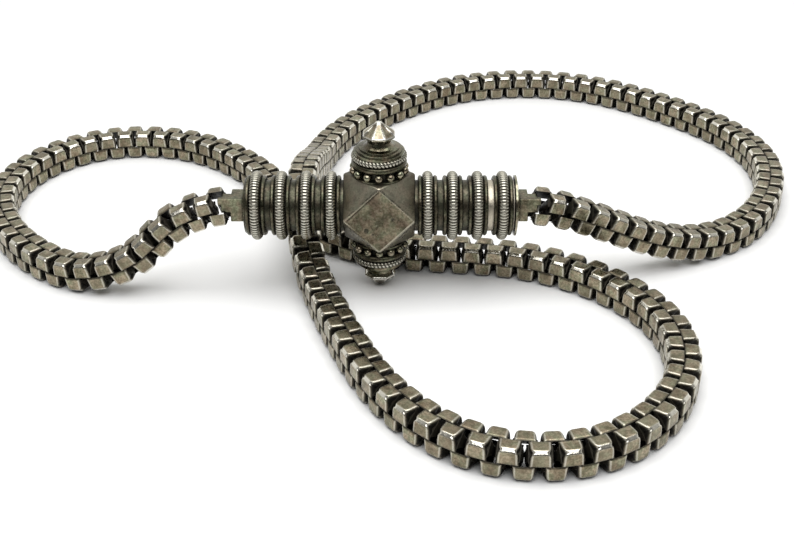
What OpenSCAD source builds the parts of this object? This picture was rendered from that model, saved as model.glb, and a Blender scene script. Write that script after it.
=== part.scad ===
// Silver box-chain necklace closed by a barrel clasp, lying on a flat surface.
// Origin: on the surface, under the middle of the whole necklace. +X runs along the
// clasp, +Y runs away from the front of the clasp, +Z is up.

/* [Chain] */
// Side of the chain's square section
chain_side = 6; // [5.8:0.1:6.2]
// Number of links between the two bails
link_count = 301; // [297:2:301]
// Length of a link along the chain, over its cross bars
link_length = 3.75; // [3.7:0.05:3.8]
// Thickness of the cross bars along the chain
bar_t = 0.6; // [0.55:0.05:0.65]
// Width of the cross bars
bar_w = 1.6; // [1.4:0.1:1.8]
// Length of a link's corner blocks, at the middle of the chain's faces
lobe_length = 3.2; // [3:0.1:3.3]
// Length of a link's corner blocks, at the crest
crest_length = 2; // [1.6:0.1:2.4]
// Gap between neighbouring links on one face of the chain
face_gap = 0.34; // [0.3:0.02:0.5]

/* [Clasp] */
// Edge of the cube that the centre block is cut from
block_edge = 13.3; // [13:0.1:13.6]
// Wall of the hollow centre block
block_wall = 0.9; // [0.6:0.1:1.2]
// Outside diameter of the arm tubes
tube_d = 9.6; // [9.4:0.1:9.8]
// Bore of the arm tubes
tube_bore = 6.2; // [5.8:0.1:6.6]
// Distance of the first milled ring from the middle of the clasp
first_ring_x = 9; // [8.9:0.05:9.1]
// Spacing of the milled rings along an arm
ring_pitch = 4.65; // [4.6:0.05:4.7]
// Outside diameter of the milled rings
ring_d = 13; // [12.8:0.1:13.2]
// Thickness of a milled ring along the arm
ring_w = 2; // [1.8:0.1:2.1]
// Outside diameter of the plain wires beside the milled rings
wire_ring_d = 11.3; // [11.1:0.1:11.5]
// Thickness of the plain wires
wire_w = 0.8; // [0.7:0.05:0.8]
// Distance of the right bail's base from the middle of the clasp
bail_base_x = 26.1; // [26:0.05:26.2]
// Side of a bail's square section
bail_side = 4.6; // [4.4:0.1:4.7]
// Radial clearance of the screw collar on its tube and of its ring on the sleeve
collar_clearance = 0.06; // [0.03:0.01:0.1]

/* [Finials] */
// Distance of a finial's tip from the clasp's axis
finial_reach = 17; // [16.9:0.1:17.1]
// Number of granules round a finial
granule_count = 14; // [12:1:14]
// Diameter of a granule
granule_d = 1.5; // [1.3:0.05:1.5]
// Number of facets on a finial's bud
bud_facets = 8; // [6:1:10]

/* [Hidden] */
$fn = 96;

// Colours of the silver: dark in the hollows, bare where it is rubbed.
dark_silver = [0.33, 0.32, 0.28];
worn_silver = [0.52, 0.49, 0.42];
bare_silver = [0.74, 0.71, 0.62];
chain_silver = [0.58, 0.54, 0.46];
resin_brown = [0.25, 0.14, 0.08];

// The clasp's axis runs along X through this point.
clasp_x = -2.7;
clasp_y = -20.5;
clasp_z = finial_reach;

// Height of the chain's middle where it lies on the surface.
lay_z = chain_side / 2;
// The bails stand where the links before the first and after the last would stand.
bail_reach = 28.2;

// The chain's centre line is drawn by these points, from the right bail to the left.
ROUTE = [
    [clasp_x + bail_reach, clasp_y, clasp_z],
    [29.6, -20.4, 16.6], [34.4, -19.5, 14.8], [40, -17.8, 11.9], [46, -16.3, 8.9],
    [52, -14.5, 6.2], [58.5, -12, 4.1], [65.5, -8.3, 3], [72.3, -3.2, 2.9], [78.3, 5, 3],
    [83, 16.5, 3], [84.6, 28.5, 3], [82, 41, 3], [76, 51.5, 3], [68, 60.5, 3], [59, 69, 3],
    [49, 75, 3], [38, 77.7, 3], [27, 77.3, 3], [16, 74, 3], [6.5, 67.5, 3],
    [-2.5, 58.8, 3], [-10.5, 49, 3], [-15.5, 38.5, 3],
    [-17.6, 28, 3.6], [-18, 18, 7.6], [-18.7, 9, 10.2], [-19, 1.5, 11],
    [-18.9, -6, 10.3], [-18, -14.5, 7.8], [-15.8, -23, 3.8], [-13.2, -31, 2.9],
    [-10.3, -40, 3], [-6.7, -50, 3], [-2.3, -60, 3], [4, -69, 3],
    [12.2, -75.6, 3], [22.2, -78.2, 3], [32.8, -76.2, 3], [41.8, -69.5, 3],
    [48, -60, 3], [50.6, -48.5, 3], [48.5, -37, 3], [42, -27.3, 3],
    [33, -20, 3], [22.5, -15.8, 3], [12, -14.6, 3], [3, -13.6, 3], [-5, -11.3, 3],
    [-11.7, -7.8, 3], [-16.8, -2.2, 3], [-20.8, 5, 3], [-25.2, 13.8, 3],
    [-30.3, 22.6, 3], [-37.2, 30.8, 3], [-45.7, 37.2, 3], [-55.7, 40.6, 3],
    [-66.3, 40, 3], [-75.5, 34.9, 3], [-82, 26, 3], [-84.8, 15.3, 3],
    [-83.7, 5, 3], [-79.8, -4, 3], [-74.2, -11.8, 3], [-67.9, -17.8, 2.9],
    [-61.3, -21.8, 3], [-54.7, -23.4, 4.5], [-49.4, -23.3, 6.8], [-45.7, -22.7, 10.1],
    [-42.8, -21.9, 13.2], [-39.3, -21.1, 15.1], [-34.5, -20.6, 16.6],
    [clasp_x - bail_reach, clasp_y, clasp_z]];

// A smooth curve through the route's points, with its running length.
STEPS = 10;
LAST_SPAN = len(ROUTE) - 2;
function bend(a, b, c, d, t) =
    (pow(1 - t, 3) * a + (3 * t * t * t - 6 * t * t + 4) * b
    + (3 * t * t - 3 * t * t * t + 3 * t + 1) * c + t * t * t * d) / 6;
function route_end(i) =
    i < 0 ? 2 * ROUTE[0] - ROUTE[1]
    : i > LAST_SPAN + 1 ? 2 * ROUTE[LAST_SPAN + 1] - ROUTE[LAST_SPAN]
    : ROUTE[i];
function on_surface(p) = [p[0], p[1], max(p[2], lay_z)];
CURVE = [for (i = [0:LAST_SPAN], k = [0:STEPS - 1])
    on_surface(bend(route_end(i - 1), ROUTE[i], ROUTE[i + 1], route_end(i + 2), k / STEPS)),
    ROUTE[LAST_SPAN + 1]];
RUN = [for (i = 0, s = 0; i < len(CURVE);
    s = s + (i + 1 < len(CURVE) ? norm(CURVE[i + 1] - CURVE[i]) : 0), i = i + 1) s];
XS = [for (i = [0:len(CURVE) - 1]) [RUN[i], CURVE[i][0]]];
YS = [for (i = [0:len(CURVE) - 1]) [RUN[i], CURVE[i][1]]];
ZS = [for (i = [0:len(CURVE) - 1]) [RUN[i], CURVE[i][2]]];
chain_length = RUN[len(RUN) - 1];
link_pitch = chain_length / (link_count + 1);
function route_point(s) = [lookup(s, XS), lookup(s, YS), lookup(s, ZS)];

// Shape of one link, worked out from the driving sizes.
half_side = chain_side / 2;
half_diagonal = half_side * sqrt(2);
leg = half_side - face_gap / 2;
bar_bite = 0.36;
end_margin = 0.1;
links_per_stretch = 15;

// Clasp sizes worked out from the driving sizes.
block_half = block_edge / 2;
ring_x = [for (i = [0:3]) first_ring_x + i * ring_pitch];
ring_mid_r = (ring_d - ring_w) / 2;
wire_mid_r = (wire_ring_d - wire_w) / 2;
wire_seam = 0.02;
wire_offset = ring_w / 2 + wire_w / 2 + wire_seam;
arm_end_x = ring_x[3] + wire_offset + wire_w / 2 + 0.05;
collar_stop = 0.38;
flange_inner_x = arm_end_x + collar_stop;
flange_d = 11.4;
end_plate_x = arm_end_x + 0.55;
bail_base_d = 6.6;
bail_slot = 2.7;
bail_slot_start = -0.4;
shank_d = tube_bore - 0.1;
shank_length = 9;
collar_bore = tube_d + 2 * collar_clearance;
sleeve_wall = 0.35;
sleeve_d = collar_bore + 2 * sleeve_wall;
sleeve_length = 3.5;

// Finial sizes, as distances from the clasp's axis and radii.
post_r = 4.05;
plate_r = 5;
plate_t = 0.3;
granule_mid = block_half + plate_t + 0.02 + granule_d / 2;
granule_ring_r = post_r + granule_d / 2 + 0.05;
plain_wire_r = 0.6;
plain_wire_mid = 9.1;
milled_wire_r = 0.62;
milled_wire_mid = 10.36;
dome_base = 11;
bud_base = 14;

// ---- chain ----

// One corner block of a link, along X, in the corner on the +Y +Z side.
module corner_block(from_x, to_x) {
    translate([from_x, 0, 0])
        rotate([90, 0, 90])
            linear_extrude(to_x - from_x)
                polygon([[half_side, half_side], [half_side - leg, half_side],
                    [half_side, half_side - leg]]);
}

// The same block with both ends sloped in towards its crest.
module lobe() {
    inner = half_diagonal - leg / sqrt(2) - end_margin;
    outer = half_diagonal + end_margin;
    slope = (lobe_length - crest_length) / (leg * sqrt(2));
    inner_half = lobe_length / 2 + end_margin * slope;
    outer_half = crest_length / 2 - end_margin * slope;
    intersection() {
        corner_block(-lobe_length, lobe_length);
        rotate([45, 0, 0])
            translate([0, 0, -half_side])
                linear_extrude(chain_side)
                    polygon([[-inner_half, inner], [inner_half, inner],
                        [outer_half, outer], [-outer_half, outer]]);
    }
}

// The cross bar at one end of a link, between its two corner blocks.
module cross_bar(end) {
    bar_reach = half_diagonal - leg / sqrt(2) + bar_bite;
    rotate([45, 0, 0])
        translate([end * (link_length - bar_t) / 2, 0, 0])
            cube([bar_t, 2 * bar_reach, bar_w], center = true);
}

// A link lying along X in the middle of the chain's section.
module link() {
    lobe();
    rotate([180, 0, 0]) lobe();
    cross_bar(1);
    cross_bar(-1);
}

// Link number i where it lies on the route. Every second link is turned a quarter.
module placed_link(i) {
    ahead = route_point((i + 1.5) * link_pitch);
    behind = route_point((i + 0.5) * link_pitch);
    along = ahead - behind;
    color(chain_silver)
        translate(route_point((i + 1) * link_pitch))
            rotate([0, -asin(along[2] / norm(along)), atan2(along[1], along[0])])
                rotate([i % 2 * 90, 0, 0])
                    link();
}

module chain_stretch(number) {
    first = 1 + (number - 1) * links_per_stretch;
    last = min(first + links_per_stretch, link_count - 1) - 1;
    for (i = [first:last]) placed_link(i);
}

// ---- clasp ----

// Puts things drawn along +X from the clasp's middle on the right or left arm.
module on_arm(side) {
    translate([clasp_x, clasp_y, clasp_z])
        mirror([side < 0 ? 1 : 0, 0, 0])
            children();
}

// Turns a profile, drawn as [distance along the arm, radius], round the arm.
module turned(profile) {
    rotate([0, 90, 0])
        rotate_extrude()
            polygon([for (p = profile) [p[1], p[0]]]);
}

// A round wire bent into a ring round the arm.
module wire_ring(x, mid_r, wire_r, inner_d) {
    difference() {
        translate([x, 0, 0])
            rotate([0, 90, 0])
                rotate_extrude()
                    translate([mid_r, 0])
                        circle(wire_r);
        translate([x - 2 * wire_r, 0, 0])
            rotate([0, 90, 0])
                cylinder(d = inner_d, h = 4 * wire_r);
    }
}

// A cube with its corners cut off to the middles of its edges.
module cut_cube(half) {
    slab = 2 * half * 2 / sqrt(3);
    tilt = acos(1 / sqrt(3));
    intersection() {
        cube(2 * half, center = true);
        corner_slab(slab, half, tilt, 45);
        corner_slab(slab, half, tilt, 135);
        corner_slab(slab, half, tilt, 225);
        corner_slab(slab, half, tilt, 315);
    }
}

// The space between two planes that cut off a pair of opposite corners.
module corner_slab(slab, half, tilt, turn) {
    rotate([0, 0, turn])
        rotate([0, tilt, 0])
            cube([6 * half, 6 * half, slab], center = true);
}

module centre_block() {
    color(worn_silver)
        translate([clasp_x, clasp_y, clasp_z])
            difference() {
                cut_cube(block_half);
                cut_cube(block_half - block_wall);
            }
}

module block_core() {
    color(resin_brown)
        translate([clasp_x, clasp_y, clasp_z])
            cut_cube(block_half - block_wall - 0.05);
}

module arm_tube(side, end_x, tone) {
    color(tone)
        on_arm(side)
            translate([block_half, 0, 0])
                rotate([0, 90, 0])
                    difference() {
                        cylinder(d = tube_d, h = end_x - block_half);
                        translate([0, 0, -1])
                            cylinder(d = tube_bore, h = end_x - block_half + 2);
                    }
}

module milled_rings(side, positions, inner_d) {
    color(worn_silver)
        on_arm(side)
            for (x = positions) wire_ring(x, ring_mid_r, ring_w / 2, inner_d);
}

module plain_wires(side, positions, inner_d) {
    color(dark_silver)
        on_arm(side)
            for (x = positions, end = [-1, 1])
                wire_ring(x + end * wire_offset, wire_mid_r, wire_w / 2, inner_d);
}

// A bail is a square box standing on the end of the arm. A slot through it, from one
// corner to the opposite one, takes the bar of the first link.
module bail(side, base_x) {
    slot_end = (link_length - 2 * bar_t) / 2;
    color(chain_silver)
        on_arm(side)
            translate([bail_reach, 0, 0])
                difference() {
                    bail_box(base_x - bail_reach, link_length / 2, bail_side);
                    rotate([45, 0, 0])
                        translate([bail_slot_start, -chain_side, -bail_slot / 2])
                            cube([slot_end - bail_slot_start, 2 * chain_side, bail_slot]);
                    bail_tip_cut(slot_end);
                }
}

// A square bar along X from from_x to to_x.
module bail_box(from_x, to_x, side) {
    translate([from_x, -side / 2, -side / 2])
        cube([to_x - from_x, side, side]);
}

// What is cut from the end of a bail, so that only a bar crosses from corner to corner.
module bail_tip_cut(from_x) {
    difference() {
        bail_box(from_x, link_length, chain_side);
        rotate([45, 0, 0])
            translate([0, -bar_w / 2, -chain_side])
                cube([link_length, bar_w, 2 * chain_side]);
    }
}

module left_tube() arm_tube(-1, arm_end_x, dark_silver);
module left_milled_rings() milled_rings(-1, ring_x, tube_d);
module left_plain_wires() plain_wires(-1, ring_x, tube_d);
module left_bail() bail(-1, end_plate_x);

// The low cone that shuts the left arm.
module left_end_cone() {
    color(dark_silver)
        on_arm(-1)
            turned([[arm_end_x - 2, 0], [arm_end_x - 2, shank_d / 2],
                [arm_end_x, shank_d / 2], [arm_end_x, wire_ring_d / 2 - 0.3],
                [arm_end_x + 0.25, wire_ring_d / 2 - 0.5],
                [end_plate_x, bail_base_d / 2], [end_plate_x, 0]]);
}

module right_tube() arm_tube(1, flange_inner_x - 0.2, bare_silver);
module right_milled_rings() milled_rings(1, [for (i = [0:2]) ring_x[i]], tube_d);
module right_plain_wires() plain_wires(1, [for (i = [0:2]) ring_x[i]], tube_d);
module right_bail() bail(1, bail_base_x);

// The plug that the bail stands on: a saucer outside and a shank inside the tube.
module bail_plug() {
    color(bare_silver)
        on_arm(1)
            turned([[flange_inner_x - shank_length, 0],
                [flange_inner_x - shank_length, shank_d / 2 - 0.4],
                [flange_inner_x - shank_length + 0.4, shank_d / 2],
                [flange_inner_x, shank_d / 2], [flange_inner_x, flange_d / 2],
                [flange_inner_x + 0.35, flange_d / 2],
                [bail_base_x, bail_base_d / 2], [bail_base_x, 0]]);
}

// ---- screw collar ----

module collar_sleeve() {
    color(dark_silver)
        on_arm(1)
            translate([ring_x[3] - sleeve_length / 2, 0, 0])
                rotate([0, 90, 0])
                    difference() {
                        cylinder(d = sleeve_d, h = sleeve_length);
                        translate([0, 0, -1])
                            cylinder(d = collar_bore, h = sleeve_length + 2);
                    }
}

module collar_milled_ring() milled_rings(1, [ring_x[3]], sleeve_d + 2 * collar_clearance);
module collar_plain_wires() plain_wires(1, [ring_x[3]], sleeve_d + 2 * collar_clearance);

// ---- finials ----

// Puts things drawn along +Z from the clasp's axis above or below the block.
module on_block(side) {
    translate([clasp_x, clasp_y, clasp_z])
        rotate([side < 0 ? 180 : 0, 0, 0])
            children();
}

module finial_post(side) {
    color(dark_silver)
        on_block(side)
            rotate_extrude()
                polygon([[0, block_half], [plate_r, block_half], [plate_r, block_half + plate_t],
                    [post_r, block_half + plate_t], [post_r, dome_base], [0, dome_base]]);
}

module finial_granules(side) {
    color(bare_silver)
        on_block(side)
            for (i = [0:granule_count - 1])
                rotate([0, 0, (i + 0.5) * 360 / granule_count])
                    translate([granule_ring_r, 0, granule_mid])
                        sphere(d = granule_d);
}

module finial_ring(side, mid, wire_r, tone) {
    color(tone)
        on_block(side)
            difference() {
                translate([0, 0, mid])
                    rotate_extrude()
                        translate([post_r + wire_r * 0.85, 0])
                            circle(wire_r);
                translate([0, 0, block_half])
                    cylinder(r = post_r, h = finial_reach);
            }
}

module finial_plain_wire(side) finial_ring(side, plain_wire_mid, plain_wire_r, dark_silver);
module finial_milled_wire(side) finial_ring(side, milled_wire_mid, milled_wire_r, worn_silver);

module finial_dome(side) {
    color(worn_silver)
        on_block(side)
            rotate_extrude()
                polygon([[0, dome_base], [4.75, dome_base], [4.75, 11.4], [4.3, 11.5],
                    [4.3, 11.85], [3.75, 11.95], [3.75, 12.2], [2.9, 12.35],
                    [2.4, 12.7], [2.2, 13.2], [2.3, 13.7], [2.5, bud_base], [0, bud_base]]);
}

// The faceted bud, as stacked frusta with flat sides.
module finial_bud(side) {
    tiers = [[bud_base, 2.75], [14.25, 3.15], [14.75, 3.1], [15.6, 2.4], [16.5, 1.2],
        [finial_reach, 0.45]];
    color(bare_silver)
        on_block(side)
            rotate([0, 0, 180 / bud_facets])
                for (i = [0:len(tiers) - 2])
                    translate([0, 0, tiers[i][0]])
                        cylinder(r1 = tiers[i][1], r2 = tiers[i + 1][1],
                            h = tiers[i + 1][0] - tiers[i][0], $fn = bud_facets);
}

centre_block();
block_core();
left_tube();
left_milled_rings();
left_plain_wires();
left_end_cone();
left_bail();
right_tube();
right_milled_rings();
right_plain_wires();
bail_plug();
right_bail();
collar_sleeve();
collar_milled_ring();
collar_plain_wires();
finial_post(1);  // upper_finial_post
finial_granules(1);  // upper_finial_granules
finial_plain_wire(1);  // upper_finial_wire
finial_milled_wire(1);  // upper_finial_milled_ring
finial_dome(1);  // upper_finial_dome
finial_bud(1);  // upper_finial_bud
finial_post(-1);  // lower_finial_post
finial_granules(-1);  // lower_finial_granules
finial_plain_wire(-1);  // lower_finial_wire
finial_milled_wire(-1);  // lower_finial_milled_ring
finial_dome(-1);  // lower_finial_dome
finial_bud(-1);  // lower_finial_bud
placed_link(0);  // right_first_link
placed_link(link_count - 1);  // left_first_link
chain_stretch(1);  // chain_01
chain_stretch(2);  // chain_02
chain_stretch(3);  // chain_03
chain_stretch(4);  // chain_04
chain_stretch(5);  // chain_05
chain_stretch(6);  // chain_06
chain_stretch(7);  // chain_07
chain_stretch(8);  // chain_08
chain_stretch(9);  // chain_09
chain_stretch(10);  // chain_10
chain_stretch(11);  // chain_11
chain_stretch(12);  // chain_12
chain_stretch(13);  // chain_13
chain_stretch(14);  // chain_14
chain_stretch(15);  // chain_15
chain_stretch(16);  // chain_16
chain_stretch(17);  // chain_17
chain_stretch(18);  // chain_18
chain_stretch(19);  // chain_19
chain_stretch(20);  // chain_20
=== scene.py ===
"""Looks of a silver box-chain necklace with a barrel clasp, lying on a pale floor.

Sizes are in millimetres, as in the CAD source, and become metres where a mesh is made. The
camera, the light and the floor are placed in metres. Colours are linear RGB.
"""
import bisect
import math

import bmesh
import bpy
from mathutils import Matrix, Vector


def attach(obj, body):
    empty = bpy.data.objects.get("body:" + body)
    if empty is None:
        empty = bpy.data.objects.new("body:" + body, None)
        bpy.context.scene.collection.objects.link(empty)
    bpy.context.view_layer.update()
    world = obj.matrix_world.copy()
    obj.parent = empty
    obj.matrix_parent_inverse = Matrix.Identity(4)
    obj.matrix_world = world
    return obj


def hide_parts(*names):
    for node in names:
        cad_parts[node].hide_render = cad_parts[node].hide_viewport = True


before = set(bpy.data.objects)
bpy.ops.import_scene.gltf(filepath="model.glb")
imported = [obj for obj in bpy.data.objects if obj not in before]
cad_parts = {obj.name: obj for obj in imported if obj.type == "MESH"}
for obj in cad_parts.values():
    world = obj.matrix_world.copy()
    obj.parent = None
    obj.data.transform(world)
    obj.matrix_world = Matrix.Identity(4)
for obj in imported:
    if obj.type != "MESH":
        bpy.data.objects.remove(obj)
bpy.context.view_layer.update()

MM = 0.001
SCENE = bpy.context.scene

# ---- sizes shared with the CAD source ----

CLASP = Vector((-2.7, -20.5, 17))
LINK_COUNT = 301
LINKS_PER_STRETCH = 15
STRETCH_COUNT = 20
CHAIN_SIDE = 6
LAY_Z = CHAIN_SIDE / 2
HALF_DIAGONAL = CHAIN_SIDE / math.sqrt(2)
BAR_MIDDLE_X = 1.575
RING_X = (9, 13.65, 18.3, 22.95)
TUBE_R = 4.8
RING_CUT_R = 5.27
BARE_FROM_X = 20.1
BLOCK_HALF = 6.65

# The chain's centre line, from the right bail to the left.
ROUTE = [Vector(p) for p in (
    (25.5, -20.5, 17),
    (29.6, -20.4, 16.6), (34.4, -19.5, 14.8), (40, -17.8, 11.9), (46, -16.3, 8.9),
    (52, -14.5, 6.2), (58.5, -12, 4.1), (65.5, -8.3, 3), (72.3, -3.2, 2.9), (78.3, 5, 3),
    (83, 16.5, 3), (84.6, 28.5, 3), (82, 41, 3), (76, 51.5, 3), (68, 60.5, 3), (59, 69, 3),
    (49, 75, 3), (38, 77.7, 3), (27, 77.3, 3), (16, 74, 3), (6.5, 67.5, 3),
    (-2.5, 58.8, 3), (-10.5, 49, 3), (-15.5, 38.5, 3),
    (-17.6, 28, 3.6), (-18, 18, 7.6), (-18.7, 9, 10.2), (-19, 1.5, 11),
    (-18.9, -6, 10.3), (-18, -14.5, 7.8), (-15.8, -23, 3.8), (-13.2, -31, 2.9),
    (-10.3, -40, 3), (-6.7, -50, 3), (-2.3, -60, 3), (4, -69, 3),
    (12.2, -75.6, 3), (22.2, -78.2, 3), (32.8, -76.2, 3), (41.8, -69.5, 3),
    (48, -60, 3), (50.6, -48.5, 3), (48.5, -37, 3), (42, -27.3, 3),
    (33, -20, 3), (22.5, -15.8, 3), (12, -14.6, 3), (3, -13.6, 3), (-5, -11.3, 3),
    (-11.7, -7.8, 3), (-16.8, -2.2, 3), (-20.8, 5, 3), (-25.2, 13.8, 3),
    (-30.3, 22.6, 3), (-37.2, 30.8, 3), (-45.7, 37.2, 3), (-55.7, 40.6, 3),
    (-66.3, 40, 3), (-75.5, 34.9, 3), (-82, 26, 3), (-84.8, 15.3, 3),
    (-83.7, 5, 3), (-79.8, -4, 3), (-74.2, -11.8, 3), (-67.9, -17.8, 2.9),
    (-61.3, -21.8, 3), (-54.7, -23.4, 4.5), (-49.4, -23.3, 6.8), (-45.7, -22.7, 10.1),
    (-42.8, -21.9, 13.2), (-39.3, -21.1, 15.1), (-34.5, -20.6, 16.6),
    (-30.9, -20.5, 17))]
STEPS_PER_SPAN = 10


# ---- camera, floor and light ----

FLOOR_HALF = 3
FLOOR_DROP = 0.00005
FLOOR_TONE = 0.9
# The room's tones from in front of the object (0) to behind it (1).
ROOM_TONES = ((0.0, 0.1), (0.3, 0.16), (0.5, 0.42), (0.72, 0.85), (1.0, 1.0))
ROOM_WARMTH = 0.97


def make_camera(place, tilt, lens):
    """A camera that looks along +Y and down; tilt is in degrees from straight down."""
    data = bpy.data.cameras.new("camera")
    data.lens = lens
    data.clip_start = 0.01
    camera = bpy.data.objects.new("camera", data)
    camera.location = place
    camera.rotation_euler = (math.radians(tilt), 0, 0)
    SCENE.collection.objects.link(camera)
    SCENE.camera = camera


def make_floor():
    mesh = bpy.data.meshes.new("floor")
    half = FLOOR_HALF
    corners = [(-half, -half, 0), (half, -half, 0), (half, half, 0), (-half, half, 0)]
    mesh.from_pydata(corners, [], [(0, 1, 2, 3)])
    floor = bpy.data.objects.new("floor", mesh)
    floor.location.z = -FLOOR_DROP
    SCENE.collection.objects.link(floor)
    material = bpy.data.materials.new("floor_paper")
    material.use_nodes = True
    shader = material.node_tree.nodes["Principled BSDF"]
    shader.inputs["Base Color"].default_value = (FLOOR_TONE, FLOOR_TONE, FLOOR_TONE, 1)
    shader.inputs["Roughness"].default_value = 0.9
    mesh.materials.append(material)


def make_light(name, place, target, size, power):
    """A rectangular softbox at a place, turned to face its target."""
    data = bpy.data.lights.new(name, "AREA")
    data.shape = "RECTANGLE"
    data.size, data.size_y = size
    data.energy = power
    light = bpy.data.objects.new(name, data)
    light.location = place
    aim = Vector(target) - Vector(place)
    light.rotation_euler = aim.to_track_quat("-Z", "Y").to_euler()
    SCENE.collection.objects.link(light)


def make_world():
    """A room that is dark in front of the object and pale behind it."""
    world = bpy.data.worlds.new("studio")
    world.use_nodes = True
    tree = world.node_tree
    tree.nodes.clear()
    coords = tree.nodes.new("ShaderNodeTexCoord")
    split = tree.nodes.new("ShaderNodeSeparateXYZ")
    depth = tree.nodes.new("ShaderNodeMapRange")
    depth.inputs["From Min"].default_value = -1
    ramp = tree.nodes.new("ShaderNodeValToRGB")
    while len(ramp.color_ramp.elements) < len(ROOM_TONES):
        ramp.color_ramp.elements.new(0.5)
    for element, (place, tone) in zip(ramp.color_ramp.elements, ROOM_TONES):
        element.position = place
        element.color = (tone, tone, tone * ROOM_WARMTH, 1)
    background = tree.nodes.new("ShaderNodeBackground")
    background.inputs["Strength"].default_value = 1.0
    output = tree.nodes.new("ShaderNodeOutputWorld")
    tree.links.new(coords.outputs["Generated"], split.inputs[0])
    tree.links.new(split.outputs["Y"], depth.inputs["Value"])
    tree.links.new(depth.outputs["Result"], ramp.inputs["Fac"])
    tree.links.new(ramp.outputs["Color"], background.inputs["Color"])
    tree.links.new(background.outputs[0], output.inputs["Surface"])
    SCENE.world = world


# ---- materials ----

# Noise scales, in cells to the metre.
BLOTCH_SCALE, TINT_SCALE, DENT_SCALE, SPECKLE_SCALE, GRAIN_SCALE = 420, 650, 1300, 2600, 5200
SHEEN_SCALE = 1500
STREAK_SCALE = 900
WARM, GREENISH = (1.12, 1.02, 0.98), (0.94, 1.02, 0.93)
CLEAN, SPECKLED = (1.12, 1.12, 1.1), (0.66, 0.64, 0.6)
BARE_TONE = (0.5, 0.455, 0.365)
BARE_EDGE = 0.1


def colour_sockets(sockets):
    return [socket for socket in sockets if socket.type == "RGBA"]


class Nodes:
    """Short calls for building one material's node tree."""

    def __init__(self, name):
        self.material = bpy.data.materials.new(name)
        self.material.use_nodes = True
        self.tree = self.material.node_tree
        self.shader = self.tree.nodes["Principled BSDF"]
        self.coords = self.tree.nodes.new("ShaderNodeTexCoord").outputs["Object"]

    def link(self, source, target):
        self.tree.links.new(source, target)

    def noise(self, scale, detail):
        node = self.tree.nodes.new("ShaderNodeTexNoise")
        node.inputs["Scale"].default_value = scale
        node.inputs["Detail"].default_value = detail
        node.inputs["Roughness"].default_value = 0.55
        self.link(self.coords, node.inputs["Vector"])
        return node.outputs["Fac"]

    def spread(self, value, low, high, to_low=0.0, to_high=1.0):
        node = self.tree.nodes.new("ShaderNodeMapRange")
        self.link(value, node.inputs["Value"])
        node.inputs["From Min"].default_value = low
        node.inputs["From Max"].default_value = high
        node.inputs["To Min"].default_value = to_low
        node.inputs["To Max"].default_value = to_high
        return node.outputs["Result"]

    def math(self, operation, first, second):
        node = self.tree.nodes.new("ShaderNodeMath")
        node.operation = operation
        for socket, value in zip(node.inputs, (first, second)):
            if isinstance(value, (int, float)):
                socket.default_value = value
            else:
                self.link(value, socket)
        return node.outputs[0]

    def mix(self, factor, first, second, blend="MIX"):
        node = self.tree.nodes.new("ShaderNodeMix")
        node.data_type = "RGBA"
        node.blend_type = blend
        if isinstance(factor, (int, float)):
            node.inputs["Factor"].default_value = factor
        else:
            self.link(factor, node.inputs["Factor"])
        for socket, value in zip(colour_sockets(node.inputs), (first, second)):
            if isinstance(value, tuple):
                socket.default_value = (*value, 1)
            else:
                self.link(value, socket)
        return colour_sockets(node.outputs)[0]

    def crevice(self, reach):
        """1 deep in a crevice, 0 in the open."""
        node = self.tree.nodes.new("ShaderNodeAmbientOcclusion")
        node.samples = 8
        node.inputs["Distance"].default_value = reach * MM
        return self.spread(node.outputs["AO"], 0.85, 0.25)

    def bump(self, height, distance, strength):
        node = self.tree.nodes.new("ShaderNodeBump")
        node.inputs["Strength"].default_value = strength
        node.inputs["Distance"].default_value = distance * MM
        self.link(height, node.inputs["Height"])
        self.link(node.outputs["Normal"], self.shader.inputs["Normal"])


def silver(name, open_tone, stain_tone, deep_tone, gloss, reach=1.2, worn=None):
    """Old silver: an open tone with stains, dark where it is sheltered.

    gloss is the roughness of the open metal. worn is the tone of rubbed crests, on meshes
    that carry a wear_and_shade colour: red darkens (painted shade in the chain's hollows), green
    is rubbing and blue is the link's own tone.
    """
    n = Nodes(name)
    blotch = n.spread(n.noise(BLOTCH_SCALE, 4), 0.42, 0.62)
    grain = n.noise(GRAIN_SCALE, 2)
    sheltered = n.crevice(reach)
    tone = n.mix(blotch, open_tone, stain_tone)
    tint = n.mix(n.spread(n.noise(TINT_SCALE, 2), 0.4, 0.6), WARM, GREENISH)
    speckle = n.mix(n.spread(n.noise(SPECKLE_SCALE, 3), 0.38, 0.6), CLEAN, SPECKLED)
    tone = n.mix(1.0, n.mix(1.0, tone, tint, "MULTIPLY"), speckle, "MULTIPLY")
    if worn:
        wear_and_shade = n.tree.nodes.new("ShaderNodeAttribute")
        wear_and_shade.attribute_name = "wear_and_shade"
        parts = n.tree.nodes.new("ShaderNodeSeparateColor")
        n.link(wear_and_shade.outputs["Color"], parts.inputs[0])
        tone = n.mix(n.spread(parts.outputs["Blue"], 0, 1, 0, 0.55), tone, stain_tone)
        tone = n.mix(parts.outputs["Green"], tone, worn)
        # The red channel joins the sheltered darkening; in the chain it is painted shade.
        sheltered = n.math("MAXIMUM", sheltered, parts.outputs["Red"])
    tone = n.mix(sheltered, tone, deep_tone)
    n.link(tone, n.shader.inputs["Base Color"])
    rough = n.spread(n.noise(SHEEN_SCALE, 3), 0.35, 0.65, gloss - 0.07, gloss + 0.1)
    if worn:
        rough = n.math("SUBTRACT", rough, n.spread(parts.outputs["Green"], 0, 1, 0, 0.1))
    rough = n.math("ADD", rough, n.spread(sheltered, 0, 1, 0, 0.25))
    n.link(rough, n.shader.inputs["Roughness"])
    n.link(n.spread(sheltered, 0, 1, 1.0, 0.55), n.shader.inputs["Metallic"])
    n.bump(n.math("ADD", n.math("MULTIPLY", grain, 0.4), n.noise(DENT_SCALE, 3)), 0.035, 0.55)
    return n.material


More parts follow.
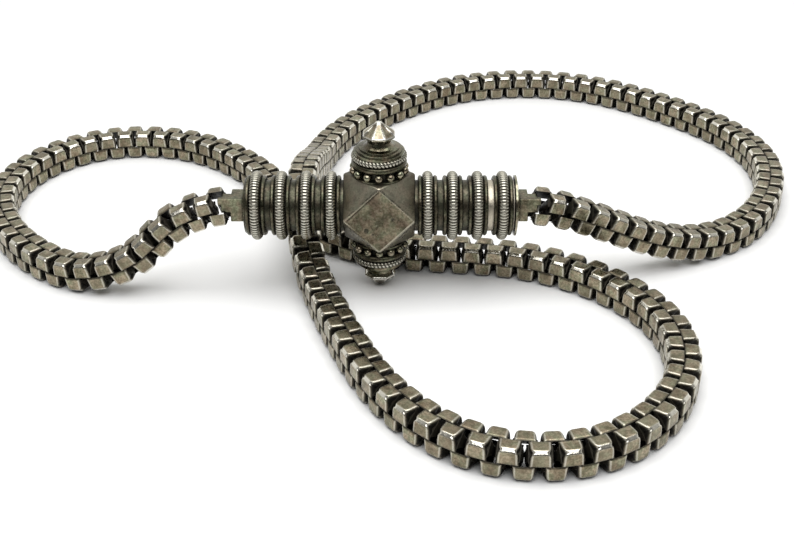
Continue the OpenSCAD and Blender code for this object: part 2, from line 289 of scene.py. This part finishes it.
def make_materials():
    return {
        "chain": silver("chain_silver", (0.34, 0.312, 0.236), (0.18, 0.155, 0.11),
            (0.012, 0.0105, 0.0075), 0.28, worn=(0.82, 0.79, 0.7)),
        "bail": silver("bail_silver", (0.2, 0.19, 0.14), (0.1, 0.093, 0.068),
            (0.012, 0.011, 0.008), 0.3),
        "block": silver("block_silver", (0.27, 0.25, 0.19), (0.15, 0.13, 0.1),
            (0.02, 0.018, 0.013), 0.33, reach=3, worn=(0.5, 0.47, 0.38)),
        "ring": silver("ring_silver", (0.2, 0.19, 0.15), (0.12, 0.112, 0.086),
            (0.012, 0.011, 0.0085), 0.24, reach=0.6, worn=(0.62, 0.6, 0.52)),
        "dark": silver("dark_silver", (0.13, 0.125, 0.095), (0.07, 0.066, 0.048),
            (0.01, 0.0095, 0.007), 0.3),
        "dome": silver("dome_silver", (0.2, 0.19, 0.145), (0.09, 0.085, 0.063),
            (0.008, 0.0075, 0.0055), 0.18, reach=0.7),
        "bead": silver("bead_silver", (0.36, 0.34, 0.27), (0.2, 0.185, 0.145),
            (0.012, 0.011, 0.0085), 0.2, reach=0.8),
        "bud": silver("bud_silver", (0.42, 0.39, 0.31), (0.22, 0.19, 0.14),
            (0.03, 0.026, 0.02), 0.2, worn=(0.85, 0.83, 0.76)),
        "resin": resin(),
    }


def part_bared(name, dark, bare_from):
    """A copy of a dark material, bare metal beyond one place along the arm."""
    material = dark.copy()
    material.name = name
    tree = material.node_tree
    shader = tree.nodes["Principled BSDF"]
    old = shader.inputs["Base Color"].links[0].from_socket
    coords = tree.nodes.new("ShaderNodeTexCoord")
    split = tree.nodes.new("ShaderNodeSeparateXYZ")
    step = tree.nodes.new("ShaderNodeMapRange")
    step.inputs["From Min"].default_value = bare_from * MM
    step.inputs["From Max"].default_value = (bare_from + BARE_EDGE) * MM
    mix = tree.nodes.new("ShaderNodeMix")
    mix.data_type = "RGBA"
    colours = colour_sockets(mix.inputs)
    colours[1].default_value = (*BARE_TONE, 1)
    tree.links.new(coords.outputs["Object"], split.inputs[0])
    tree.links.new(split.outputs["X"], step.inputs["Value"])
    tree.links.new(step.outputs["Result"], mix.inputs["Factor"])
    tree.links.new(old, colours[0])
    tree.links.new(colour_sockets(mix.outputs)[0], shader.inputs["Base Color"])
    return material


def resin():
    n = Nodes("lac_resin")
    streaks = n.spread(n.noise(STREAK_SCALE, 5), 0.35, 0.65)
    n.link(n.mix(streaks, (0.09, 0.035, 0.018), (0.16, 0.07, 0.035)),
        n.shader.inputs["Base Color"])
    n.link(n.spread(streaks, 0, 1, 0.45, 0.65), n.shader.inputs["Roughness"])
    n.bump(streaks, 0.05, 0.5)
    return n.material


# ---- mesh helpers ----

def shifted(faces, first):
    """Faces as they number their points once `first` other points stand before them."""
    return [tuple(first + k for k in face) for face in faces]


def tube_faces(rings, around):
    """Faces of a closed tube: rings of points one after another, and a cap on each end."""
    faces = []
    for i in range(rings - 1):
        for j in range(around):
            a, b = i * around + j, i * around + (j + 1) % around
            faces.append((a, b, b + around, a + around))
    faces.append(tuple(reversed(range(around))))
    faces.append(tuple((rings - 1) * around + j for j in range(around)))
    return faces


def paint_wear_and_shade(mesh, wear_and_shade):
    # The colour holds rubbing, the link's tone and, in red, painted shade.
    layer = mesh.color_attributes.new("wear_and_shade", "FLOAT_COLOR", "POINT")
    for item, colour in zip(layer.data, wear_and_shade):
        item.color = (*colour, 1)


def make_piece(name, verts, faces, material, body, replaced, wear_and_shade, smooth=40):
    """Makes a piece from points in millimetres, riding on a body.

    Edges that turn by more than `smooth` degrees stay sharp.
    """
    mesh = bpy.data.meshes.new(name)
    mesh.from_pydata([tuple(v * MM for v in p) for p in verts], [], faces)
    mesh.validate()
    mesh.materials.append(material)
    paint_wear_and_shade(mesh, wear_and_shade)
    work = bmesh.new()
    work.from_mesh(mesh)
    bmesh.ops.recalc_face_normals(work, faces=work.faces)
    work.to_mesh(mesh)
    work.free()
    for polygon in mesh.polygons:
        polygon.use_smooth = True
    mesh.set_sharp_from_angle(angle=math.radians(smooth))
    piece = bpy.data.objects.new(name, mesh)
    SCENE.collection.objects.link(piece)
    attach(piece, body)
    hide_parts(*replaced)


def steady_random(number, salt):
    """A number from 0 to 1 that is always the same for the same two whole numbers."""
    return math.sin(number * 12.9898 + salt * 78.233) * 43758.5453 % 1


# ---- the chain's route ----

def route_curve():
    """Points along the route and the running length at each."""
    ends = [2 * ROUTE[0] - ROUTE[1]] + ROUTE + [2 * ROUTE[-1] - ROUTE[-2]]
    points = []
    for a, b, c, d in zip(ends, ends[1:], ends[2:], ends[3:]):
        for k in range(STEPS_PER_SPAN):
            t = k / STEPS_PER_SPAN
            p = ((1 - t) ** 3 * a + (3 * t ** 3 - 6 * t ** 2 + 4) * b
                + (3 * t ** 2 - 3 * t ** 3 + 3 * t + 1) * c + t ** 3 * d) / 6
            points.append(p)
    points.append(ROUTE[-1].copy())
    for p in points:
        p.z = max(p.z, LAY_Z)
    run = [0.0]
    for a, b in zip(points, points[1:]):
        run.append(run[-1] + (b - a).length)
    return points, run


CURVE, RUN = route_curve()
LINK_PITCH = RUN[-1] / (LINK_COUNT + 1)


def route_point(distance):
    i = min(max(bisect.bisect_right(RUN, distance) - 1, 0), len(RUN) - 2)
    share = (distance - RUN[i]) / (RUN[i + 1] - RUN[i])
    return CURVE[i].lerp(CURVE[i + 1], share)


def link_place(i):
    """Where link i lies: every second link is turned a quarter."""
    along = route_point((i + 1.5) * LINK_PITCH) - route_point((i + 0.5) * LINK_PITCH)
    heading = Matrix.Rotation(math.atan2(along.y, along.x), 4, "Z")
    slope = Matrix.Rotation(-math.asin(along.z / along.length), 4, "Y")
    roll = Matrix.Rotation(i % 2 * math.pi / 2, 4, "X")
    return Matrix.Translation(route_point((i + 1) * LINK_PITCH)) @ heading @ slope @ roll


# ---- one link ----

# The strip, measured along itself from the crest (v) and along the chain (x).
LEG = 2.76
FLAT_HALF = 1.0
CREST_TAPER = 0.14
CORNER_CUT = 0.54
CORNER_REACH = 1.3
CREST_HALF = 0.36
CREST_EASE = 0.28
RUB_FADE = 0.2
# Where the strip has a row of points, as shares of LEG: closest at the crest and the feet.
STRIP_ROWS = (-1, -0.975, -0.88, -0.7, -0.52, -0.38, -0.27, -0.19, -0.13, -0.07,
    0.07, 0.13, 0.19, 0.27, 0.38, 0.52, 0.7, 0.88, 0.975, 1)
# How far the last two rows at a foot drop.
FOOT_DROP, NEAR_FOOT_DROP = 0.18, 0.03
# The strip's rolled end: how far out and how deep its points are from the flat's end.
ROLLED_END = ((0.2, 0.012), (0.38, 0.05), (0.52, 0.12), (0.64, 0.25), (0.74, 0.46), (0.8, 0.8),
    (0.83, 1.3))
# Below LIT_DEPTH painted shade grows on the strip's rolled ends, and it is full after SUNK_DEPTH
# more.
LIT_DEPTH = 0.08
SUNK_DEPTH = 0.42
BAR_INWARD = 0.3
BAR_CHAMFER = 0.1
BAR_HALF_WIDE = 0.8
# The bars inside each link are painted this dark, as shade between the lobes.
BAR_DARKNESS = 0.9
# The links near the bails have room to swing.
END_LINKS = 3
PLAY_DEG = 2.4


def fold_height(v):
    """How far the folded strip's surface is from the chain's middle, v along the strip."""
    past = math.sqrt(max(abs(v) - CREST_HALF, 0) ** 2 + CREST_EASE ** 2)
    return HALF_DIAGONAL - (CREST_HALF + past) / math.sqrt(2)


def lobe_mesh(stretch, floor):
    """A strip folded over an edge of the chain: flat crest, rolled ends, cut corners.

    Returns points (x, across, out), faces, and wear with painted shade. Out points from the
    chain's middle to the crest, and across runs from one foot of the strip to the other.
    """
    points, wear_and_shade = [], []
    for share in STRIP_ROWS:
        v = share * LEG
        foot_drop = FOOT_DROP if abs(share) == 1 else NEAR_FOOT_DROP if abs(share) > 0.95 else 0
        surface = fold_height(v) - foot_drop
        u = 1 - min(abs(v) / CORNER_REACH, 1)
        half = FLAT_HALF - CREST_TAPER * (1 - abs(share)) - CORNER_CUT * (1 - math.sqrt(1 - u * u))
        rub = 1 if abs(v) < CREST_HALF else max(0.0, 1 - (abs(v) - CREST_HALF) / RUB_FADE)
        rolled = [(half + x, depth) for x, depth in reversed(ROLLED_END)]
        side = [(rolled[0][0], HALF_DIAGONAL)] + rolled
        column = [(-x, depth) for x, depth in side]
        column += [(half * k, 0) for k in (-1, -0.94, 0, 0.94, 1)]
        column += reversed(side)
        for x, depth in column:
            points.append((x * stretch, v / math.sqrt(2), max(surface - depth, floor)))
            # Painted shade: the rolled ends darken with depth, and the feet where the rows meet
            # darken too.
            sunk = min(max(depth - LIT_DEPTH, 0) / SUNK_DEPTH, 1) ** 0.7
            edge = 0.4 if 0.04 < depth < 0.2 else 0
            foot = 0.7 if foot_drop == FOOT_DROP else 0.1 if foot_drop else 0
            wear_and_shade.append((max(sunk, foot), max(rub * (1 - sunk), edge * (1 - foot))))
    rows = len(STRIP_ROWS)
    cols = len(points) // rows
    faces = []
    for i in range(rows - 1):
        for j in range(cols - 1):
            a = i * cols + j
            faces.append((a, a + 1, a + cols + 1, a + cols))
        a = i * cols
        faces.append((a + cols - 1, a, a + cols, a + 2 * cols - 1))
    faces.append(tuple(range(cols)))
    faces.append(tuple((rows - 1) * cols + j for j in reversed(range(cols))))
    return points, faces, wear_and_shade


def bar_mesh(end, bulge, flare):
    """The bar across a link's end, flaring out where it meets the two lobes.

    end is -1 or 1. bulge is how far the bar's middle stands outward along the chain, and
    flare is how much wider it is at the lobes.
    """
    inward, chamfer, wide = BAR_INWARD, BAR_CHAMFER, BAR_HALF_WIDE
    half_bulge = (bulge + inward) / 2
    stations = [(-2.35, wide + flare, inward), (-1.7, wide + flare * 0.45, half_bulge),
        (-0.8, wide, bulge), (0.8, wide, bulge),
        (1.7, wide + flare * 0.45, half_bulge), (2.35, wide + flare, inward)]
    points = []
    for out, half_wide, outward in stations:
        ring = [(outward, half_wide - 2.5 * chamfer), (outward - chamfer, half_wide),
            (chamfer - inward, half_wide), (-inward, half_wide - chamfer),
            (-inward, chamfer - half_wide), (chamfer - inward, -half_wide),
            (outward - chamfer, -half_wide), (outward, 2.5 * chamfer - half_wide)]
        points += [(end * (BAR_MIDDLE_X + x), across, out) for x, across in ring]
    return points, tube_faces(len(stations), len(points) // len(stations))


def link_template(bulge, flare, stretch, floor):
    """A whole link along X: two lobes on opposite edges, joined by two bars.

    stretch scales the lobes along the chain, and floor is how near to the chain's middle
    their points may come.
    """
    points, faces, wear_and_shade = [], [], []

    def add(some_points, some_faces, some_wear, flip=1):
        first = len(points)
        for x, across, out in some_points:
            across, out = across * flip, out * flip
            y, z = (out - across) / math.sqrt(2), (out + across) / math.sqrt(2)
            points.append(Vector((x, y, z)))
        faces.extend(shifted(some_faces, first))
        wear_and_shade.extend(some_wear)

    lobe = lobe_mesh(stretch, floor)
    add(*lobe)
    add(*lobe, flip=-1)
    for end in (-1, 1):
        some_points, some_faces = bar_mesh(end, bulge, flare)
        add(some_points, some_faces, [(BAR_DARKNESS, 0.0)] * len(some_points))
    return points, faces, wear_and_shade


LINK = link_template(bulge=0.63, flare=0.7, stretch=1, floor=2)
END_LINK = link_template(bulge=0.3, flare=0, stretch=0.87, floor=2.25)


def chain_piece(name, numbers, material, body, replaced):
    points, faces, wear_and_shade = [], [], []
    for i in numbers:
        near_end = i < END_LINKS or i >= LINK_COUNT - END_LINKS
        link = END_LINK if near_end else LINK
        play = 0 if near_end else PLAY_DEG * (steady_random(i, 1) - 0.5)
        own_roll = Matrix.Rotation(math.radians(play), 4, "X")
        place = link_place(i) @ own_roll
        first = len(points)
        points += [place @ p for p in link[0]]
        faces += shifted(link[1], first)
        tone = steady_random(i, 2)
        # deep is painted shade in the chain's hollows.
        wear_and_shade += [(deep, rub, tone) for deep, rub in link[2]]
    make_piece(name, points, faces, material, body, replaced, wear_and_shade)


def make_chain(material):
    for name, number in (("right_first_link", 0), ("left_first_link", LINK_COUNT - 1)):
        chain_piece(name + "_silver", [number], material, name, [name])
    for stretch in range(STRETCH_COUNT):
        first = 1 + stretch * LINKS_PER_STRETCH
        last = min(first + LINKS_PER_STRETCH, LINK_COUNT - 1)
        name = f"chain_{stretch + 1:02d}"
        chain_piece(name + "_links", range(first, last), material, "necklace", [name])


# ---- milled rings ----

LEFT_RINGS, FIXED_RIGHT_RINGS = 4, 3
FINIAL_ROPE_Z = 10.36
RING_SHARP_DEG = 60


def ring_mesh(mid_r, wire_r, cut_r, notches, twist, notch_depth, steps, sides):
    """A ring round Z of wire with notches across it, flat where it sits on its tube.

    cut_r is that tube's radius. twist is how far a notch leans on its way round the wire.
    steps is the points to a notch, and sides the points round the wire.
    """
    points, faces, wear_and_shade = [], [], []
    around = notches * steps
    for i in range(around):
        angle = 2 * math.pi * i / around
        for j in range(sides):
            turn = 2 * math.pi * j / sides
            phase = notches * angle / 2 + twist * turn
            ridge = math.sqrt(abs(math.cos(phase)))
            r = wire_r - notch_depth * (1 - ridge)
            radius = max(mid_r + r * math.cos(turn), cut_r)
            points.append((radius * math.cos(angle), radius * math.sin(angle), r * math.sin(turn)))
            top = max(math.cos(turn), 0)
            wear_and_shade.append((0.85 * (1 - ridge), ridge ** 3 * top ** 2, 0.3))
    for i in range(around):
        for j in range(sides):
            a, b = i * sides + j, i * sides + (j + 1) % sides
            c, d = (i + 1) % around * sides + (j + 1) % sides, (i + 1) % around * sides + j
            faces.append((a, b, c, d))
    return points, faces, wear_and_shade


def along_arm(points, x):
    """Points drawn round Z, moved to stand round the clasp's axis at distance x."""
    return [CLASP + Vector((x + p[2], p[0], p[1])) for p in points]


def make_arm_rings(material):
    sizes = dict(mid_r=5.5, wire_r=1.0, notches=64, twist=0.0, notch_depth=0.17,
        steps=6, sides=20)
    fixed = ring_mesh(cut_r=TUBE_R, **sizes)
    loose = ring_mesh(cut_r=RING_CUT_R, **sizes)
    for side, count, node in ((-1, LEFT_RINGS, "left_milled_rings"),
            (1, FIXED_RIGHT_RINGS, "right_milled_rings")):
        points, faces, wear_and_shade = [], [], []
        for x in RING_X[:count]:
            first = len(points)
            points += along_arm(fixed[0], side * x)
            faces += shifted(fixed[1], first)
            wear_and_shade += fixed[2]
        make_piece(node + "_coiled", points, faces, material, "necklace",
            [node], wear_and_shade, RING_SHARP_DEG)
    make_piece("collar_ring_coiled", along_arm(loose[0], RING_X[3]), loose[1], material,
        "collar", ["collar_milled_ring"], loose[2], RING_SHARP_DEG)


def on_block(points, side):
    """Points drawn round Z from the clasp's axis, moved above (side 1) or below the block."""
    if side > 0:
        return [CLASP + Vector(p) for p in points]
    return [CLASP + Vector((p[0], -p[1], -p[2])) for p in points]


def make_finial_rings(material):
    mesh = ring_mesh(mid_r=4.577, wire_r=0.62, cut_r=4.06, notches=44, twist=1.0,
        notch_depth=0.2, steps=8, sides=16)
    raised = [(x, y, z + FINIAL_ROPE_Z) for x, y, z in mesh[0]]
    for side, name in ((1, "upper"), (-1, "lower")):
        make_piece(name + "_finial_rope", on_block(raised, side), mesh[1], material, "necklace",
            [name + "_finial_milled_ring"], mesh[2], RING_SHARP_DEG)


# ---- faceted pieces ----

# The bud's rings: height over the clasp's axis, radius, and how far its facets are hollowed.
BUD_TIERS = ((14.0, 2.7, 0.0), (14.1, 2.95, 0.0), (14.28, 3.12, 0.0), (14.46, 3.16, 0.0),
    (14.62, 3.1, 0.02), (14.72, 3.02, 0.1), (14.85, 2.92, 0.16), (15.15, 2.64, 0.2),
    (15.5, 2.2, 0.2), (15.85, 1.72, 0.16), (16.2, 1.27, 0.11), (16.5, 0.93, 0.06),
    (16.75, 0.68, 0.02), (16.92, 0.5, 0.0), (17.0, 0.25, 0.0))
BUD_SHARP_DEG = 32
BLOCK_BEVEL = 0.28
BLOCK_SHARP_DEG = 28
FRONT_CUTS = 44
EDGE_BAND = 0.3
# Pits in the block's front face: x, z, radius, depth.
PITS = ((-2.35, -1.95, 0.5, 0.35), (2.5, 0.35, 0.42, 0.2), (-1.2, -2.75, 0.3, 0.18),
    (-0.3, -1.1, 0.25, 0.12), (0.9, -2.2, 0.22, 0.1), (-3.2, 0.6, 0.2, 0.08))
# The seam along the front face's upper left edge.
SEAM_INSET, SEAM_HALF, SEAM_DEPTH = 0.55, 0.17, 0.16


def bud_mesh():
    """The bud: eight hollowed facets between raised arrises, over a rounded rim."""
    facets, per_facet = 8, 8
    points, wear_and_shade = [], []
    for height, radius, hollow in BUD_TIERS:
        for facet in range(facets):
            for k in range(per_facet):
                share = k / per_facet
                off = (share - 0.5) * 2 * math.pi / facets
                flat = math.cos(math.pi / facets) / math.cos(off)
                edge = abs(2 * share - 1)
                dip = hollow * (1 - edge ** 4)
                angle = (facet + 0.5 + share) * 2 * math.pi / facets + math.pi / 2
                r = radius * flat - dip
                points.append((r * math.cos(angle), r * math.sin(angle), height))
                wear_and_shade.append((0.0, max(edge ** 8, 1 - hollow / 0.05), 0.5))
    return points, tube_faces(len(BUD_TIERS), facets * per_facet), wear_and_shade


def make_buds(material):
    points, faces, wear_and_shade = bud_mesh()
    for side, name in ((1, "upper"), (-1, "lower")):
        make_piece(name + "_bud", on_block(points, side), faces, material, "necklace",
            [name + "_finial_bud"], wear_and_shade, BUD_SHARP_DEG)


def make_block(material):
    """The centre block: a cube cut to the middles of its edges, with worn edges."""
    work = bmesh.new()
    half = BLOCK_HALF
    corners = [Vector(p) for a in (-half, half) for b in (-half, half)
        for p in ((a, b, 0), (a, 0, b), (0, a, b))]
    for p in corners:
        work.verts.new(p)
    bmesh.ops.convex_hull(work, input=work.verts)
    bmesh.ops.dissolve_limit(work, angle_limit=0.01, verts=work.verts, edges=work.edges)
    bmesh.ops.bevel(work, geom=list(work.edges), offset=BLOCK_BEVEL, segments=3, affect="EDGES",
        profile=0.5)
    # The front face is the one furthest forward; its size sets it apart from the bevels.
    front = min(work.faces, key=lambda f: f.calc_center_median().y - f.calc_area() * 0.01)
    bmesh.ops.inset_region(work, faces=[front], thickness=0.05)
    bmesh.ops.subdivide_edges(work, edges=list(front.edges), cuts=FRONT_CUTS,
        use_grid_fill=True)
    for vert in work.verts:
        if vert.co.y < 0.02 - half:
            vert.co.y += face_wear(vert.co.x, vert.co.z)
    wear_and_shade = [block_wear(vert) for vert in work.verts]
    for vert in work.verts:
        vert.co = (vert.co + CLASP) * MM
    mesh = bpy.data.meshes.new("block_shell")
    work.to_mesh(mesh)
    work.free()
    paint_wear_and_shade(mesh, wear_and_shade)
    for polygon in mesh.polygons:
        polygon.use_smooth = True
    mesh.set_sharp_from_angle(angle=math.radians(BLOCK_SHARP_DEG))
    mesh.materials.append(material)
    piece = bpy.data.objects.new("block_shell", mesh)
    SCENE.collection.objects.link(piece)
    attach(piece, "necklace")
    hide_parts("centre_block")


def block_wear(vert):
    """Depth, rubbing and stain of the block at one point: its front face is the cleanest."""
    x, y, z = vert.co
    if y > 0.3 - BLOCK_HALF:
        return (0.42, 0.0, 1.0)
    to_edge = (BLOCK_HALF - abs(x) - abs(z)) / math.sqrt(2)
    sunk = min((y + BLOCK_HALF) / 0.15, 1) if to_edge > EDGE_BAND else 0
    rub = 0.5 if z < 0 or z > 0.85 * BLOCK_HALF else 0.2
    return (0.8 * max(sunk, 0), rub if to_edge < EDGE_BAND else 0.0, 0.0)


def face_wear(x, z):
    """How far the front face is sunk at a place: pits, and the seam along one edge."""
    sunk = 0.0
    for pit_x, pit_z, radius, depth in PITS:
        distance = math.hypot(x - pit_x, z - pit_z)
        sunk = max(sunk, depth * max(0.0, 1 - (distance / radius) ** 2))
    to_edge = (BLOCK_HALF - (z - x)) / math.sqrt(2)
    if x < 0 < z:
        off_seam = abs(to_edge - SEAM_INSET) / SEAM_HALF
        sunk = max(sunk, SEAM_DEPTH * max(0.0, 1 - off_seam))
    return sunk


# ---- CAD pieces that stay ----

# In metres.
BAIL_WELD = 0.00001
BAIL_BEVEL = 0.00018


def dress_cad(materials):
    """Gives each CAD piece that stays in view its material, and the bails worn edges."""
    dressed = {
        "dark": ["left_tube", "left_plain_wires", "left_end_cone", "right_plain_wires",
            "collar_sleeve", "collar_plain_wires", "upper_finial_post", "upper_finial_wire",
            "lower_finial_post", "lower_finial_wire"],
        "dome": ["upper_finial_dome", "lower_finial_dome"],
        "bead": ["upper_finial_granules", "lower_finial_granules", "bail_plug"],
        "screw": ["right_tube"],
        "bail": ["left_bail", "right_bail"],
        "resin": ["block_core"],
    }
    for tone, names in dressed.items():
        for name in names:
            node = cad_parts[name]
            node.data.materials.clear()
            node.data.materials.append(materials[tone])
            if tone == "bail":
                weld = node.modifiers.new("weld", "WELD")
                weld.merge_threshold = BAIL_WELD
                bevel = node.modifiers.new("worn_edges", "BEVEL")
                bevel.width = BAIL_BEVEL
                bevel.segments = 3
                bevel.limit_method = "ANGLE"


make_camera(place=(0.0006, -0.2232, 0.1203), tilt=60, lens=54.8)
make_floor()
make_world()
make_light("key", place=(0, -0.19, 0.55), target=(0, -0.19, 0), size=(0.64, 0.7), power=4.4)
SCENE.view_settings.view_transform = "Standard"

MATERIALS = make_materials()
MATERIALS["screw"] = part_bared("screw_silver", MATERIALS["dark"], CLASP.x + BARE_FROM_X)
make_chain(MATERIALS["chain"])
make_arm_rings(MATERIALS["ring"])
make_finial_rings(MATERIALS["ring"])
make_buds(MATERIALS["bud"])
make_block(MATERIALS["block"])
dress_cad(MATERIALS)
